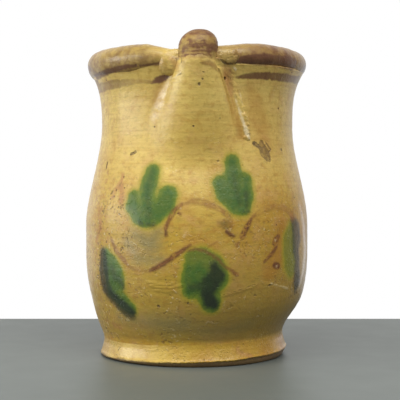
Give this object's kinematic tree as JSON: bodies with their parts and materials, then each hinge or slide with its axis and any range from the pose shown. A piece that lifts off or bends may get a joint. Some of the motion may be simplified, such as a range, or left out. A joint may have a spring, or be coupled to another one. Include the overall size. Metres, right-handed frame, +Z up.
{
  "type": "puzzle jug",
  "caption": "Pear-shaped glazed earthenware puzzle jug with a flared foot, hollow rim and handle, and a front drinking nozzle above a half-round duct.",
  "frame": {"origin": "on the jug's axis, at the underside that it stands on", "axes": "+Z up along the jug's axis, -Y towards the drinking nozzle, +Y towards the handle, +X to the right of the picture"},
  "size_m": [0.1452, 0.196, 0.2035],
  "materials": {
    "honey_glaze": "glossy honey-yellow lead glaze with painted leaves",
    "rim_glaze": "glossy, stained brown where the brush loaded the rim",
    "nozzle_glaze": "glossy mottled brown",
    "foot_glaze": "glossy, with a bare clay edge where the glaze stops",
    "inner_glaze": "thin glaze, darker inside"
  },
  "bodies": {
    "root": {"foot_ring": "foot_glaze", "pot": "honey_glaze", "rim_arm_left": "rim_glaze", "rim_arm_right": "rim_glaze", "rim_pad_left": "rim_glaze", "rim_pad_right": "rim_glaze", "nozzle": "nozzle_glaze", "spout_duct": "honey_glaze", "spout_coil_left": "honey_glaze", "spout_coil_right": "honey_glaze", "handle": "honey_glaze", "handle_crown": "rim_glaze", "handle_root": "honey_glaze", "siphon_pipe": "inner_glaze", "siphon_brace": "inner_glaze"}
  },
  "joints": []
}
